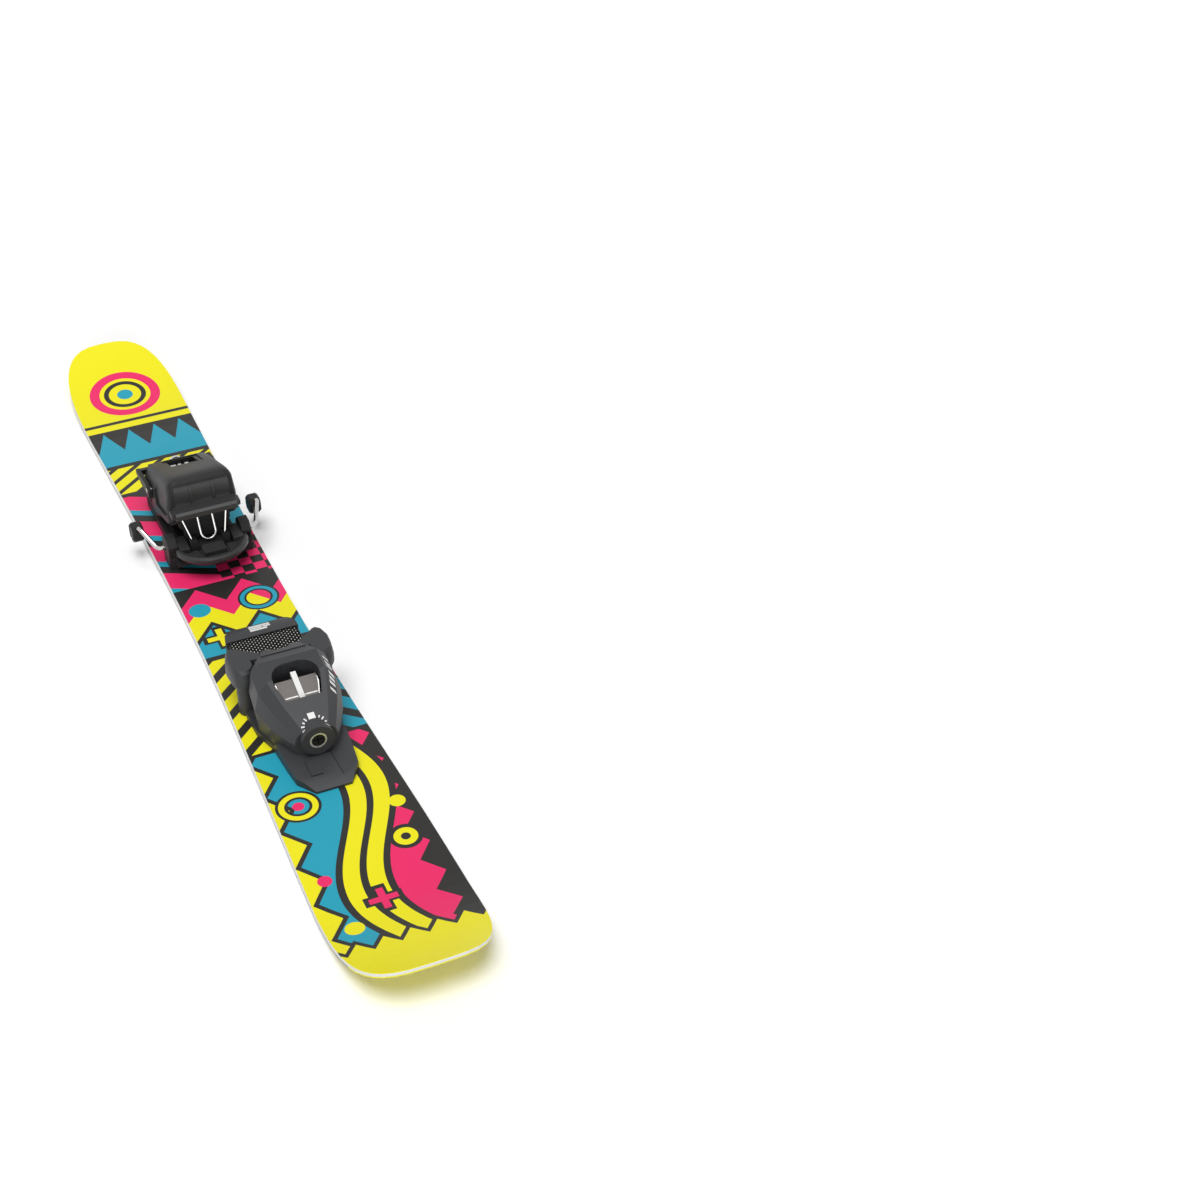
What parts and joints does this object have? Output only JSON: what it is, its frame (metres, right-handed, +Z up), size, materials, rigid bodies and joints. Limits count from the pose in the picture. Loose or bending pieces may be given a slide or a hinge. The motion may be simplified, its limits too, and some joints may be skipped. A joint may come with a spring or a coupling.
{
  "type": "short ski with step-in binding",
  "caption": "Short twin-tip ski with a step-in alpine binding: sprung toe wings, hinged heel piece on a sliding track, and a folding ski brake.",
  "frame": {"origin": "on the floor plane under the running base, at mid length and mid width", "axes": "+X along the ski towards the tip, +Y to the skier's left, +Z up from the base"},
  "size_m": [0.99, 0.125, 0.0975],
  "materials": {
    "base": "satin",
    "edge": "satin",
    "laminate": "matte",
    "core": "matte",
    "sidewall": "satin",
    "topsheet": "gloss",
    "grey_plastic": "satin",
    "black_plastic": "satin",
    "steel": "satin",
    "spring_steel": "satin",
    "chrome": "polished",
    "grey_metal": "satin",
    "white_plastic": "satin",
    "slider": "matte"
  },
  "bodies": {
    "ski": {"base_sheet": "base", "edge_left": "edge", "edge_right": "edge", "lower_laminate": "laminate", "wood_core": "core", "sidewall_left": "sidewall", "sidewall_right": "sidewall", "tip_spacer": "sidewall", "tail_spacer": "sidewall", "upper_laminate": "laminate", "topsheet": "topsheet", "toe_base": "grey_plastic", "toe_screws": "steel", "toe_housing": "grey_plastic", "toe_wing_pins": "steel", "afd_block": "grey_plastic", "heel_track": "black_plastic", "heel_screws": "steel"},
    "wing_left": {"toe_wing_left": "grey_plastic"},
    "wing_right": {"toe_wing_right": "grey_plastic"},
    "toe_adjuster": {"toe_release_screw": "steel"},
    "toe_setting": {"toe_carriage": "grey_metal", "toe_pointer": "white_plastic", "toe_spring": "spring_steel"},
    "sole_slider": {"afd_slider": "slider"},
    "heel_carriage": {"heel_chassis": "black_plastic", "heel_pivot_pin": "steel", "brake_base": "black_plastic", "brake_spring": "chrome", "brake_guides": "chrome"},
    "length_adjuster": {"length_screw": "steel"},
    "heel_body": {"heel_housing": "black_plastic", "heel_cup": "black_plastic", "heel_lever_pins": "steel"},
    "heel_release_lever": {"heel_lever": "black_plastic"},
    "heel_adjuster": {"heel_release_screw": "steel"},
    "heel_setting": {"heel_indicator": "black_plastic", "heel_spring": "spring_steel"},
    "brake_swing": {"brake_arm_left": "chrome", "brake_arm_right": "chrome", "brake_shoe_left": "black_plastic", "brake_shoe_right": "black_plastic"},
    "pedal": {"brake_pedal": "black_plastic"}
  },
  "joints": [
    {"name": "wing_left_release", "type": "hinge", "parent": "ski", "child": "wing_left", "pos_m": [0.128, 0.035, 0.045], "axis": [0, 0, -1], "range_deg": [0, 30], "stiffness_Nm_per_rad": 0.4},
    {"name": "wing_right_release", "type": "hinge", "parent": "ski", "child": "wing_right", "pos_m": [0.128, -0.035, 0.045], "axis": [0, 0, 1], "range_deg": [0, 30], "stiffness_Nm_per_rad": 0.4},
    {"name": "toe_setting_slide", "type": "slide", "parent": "ski", "child": "toe_setting", "axis": [1, 0, 0], "range_m": [-0.0025, 0.0025]},
    {"name": "toe_screw_turn", "type": "hinge", "parent": "ski", "child": "toe_adjuster", "pos_m": [0.215, 0, 0.035], "axis": [1, 0, 0], "range_deg": [-730, 730]},
    {"name": "sole_slider_shift", "type": "slide", "parent": "ski", "child": "sole_slider", "axis": [0, 1, 0], "range_m": [-0.005, 0.005], "stiffness_N_per_m": 200},
    {"name": "heel_length_slide", "type": "slide", "parent": "ski", "child": "heel_carriage", "axis": [1, 0, 0], "range_m": [-0.008, 0.008]},
    {"name": "length_screw_turn", "type": "hinge", "parent": "heel_carriage", "child": "length_adjuster", "pos_m": [-0.205, 0, 0.0182], "axis": [1, 0, 0], "range_deg": [-730, 730]},
    {"name": "heel_open", "type": "hinge", "parent": "heel_carriage", "child": "heel_body", "pos_m": [-0.18, 0, 0.036], "axis": [0, -1, 0], "range_deg": [0, 30]},
    {"name": "heel_lever_press", "type": "hinge", "parent": "heel_body", "child": "heel_release_lever", "pos_m": [-0.176, 0, 0.05], "axis": [0, -1, 0], "range_deg": [0, 6.2]},
    {"name": "heel_setting_slide", "type": "slide", "parent": "heel_body", "child": "heel_setting", "axis": [1, 0, 0], "range_m": [-0.003, 0.003]},
    {"name": "heel_screw_turn", "type": "hinge", "parent": "heel_body", "child": "heel_adjuster", "pos_m": [-0.2, 0, 0.05625], "axis": [1, 0, 0], "range_deg": [-730, 730]},
    {"name": "brake_swing_down", "type": "hinge", "parent": "heel_carriage", "child": "brake_swing", "pos_m": [-0.107, 0, 0.03], "axis": [0, -1, 0], "range_deg": [0, 70]},
    {"name": "pedal_lift", "type": "hinge", "parent": "heel_carriage", "child": "pedal", "pos_m": [-0.107, 0, 0.03], "axis": [0, -1, 0], "range_deg": [0, 35.3]}
  ],
  "couplings": [
    {"joint": "toe_screw_turn", "follows": "toe_setting_slide", "rad_per_m": 5026.5},
    {"joint": "length_screw_turn", "follows": "heel_length_slide", "rad_per_m": 1570.8},
    {"joint": "heel_lever_press", "follows": "heel_open", "ratio": 0.2},
    {"joint": "heel_screw_turn", "follows": "heel_setting_slide", "rad_per_m": 4188.8},
    {"joint": "pedal_lift", "follows": "brake_swing_down", "ratio": 0.5}
  ]
}
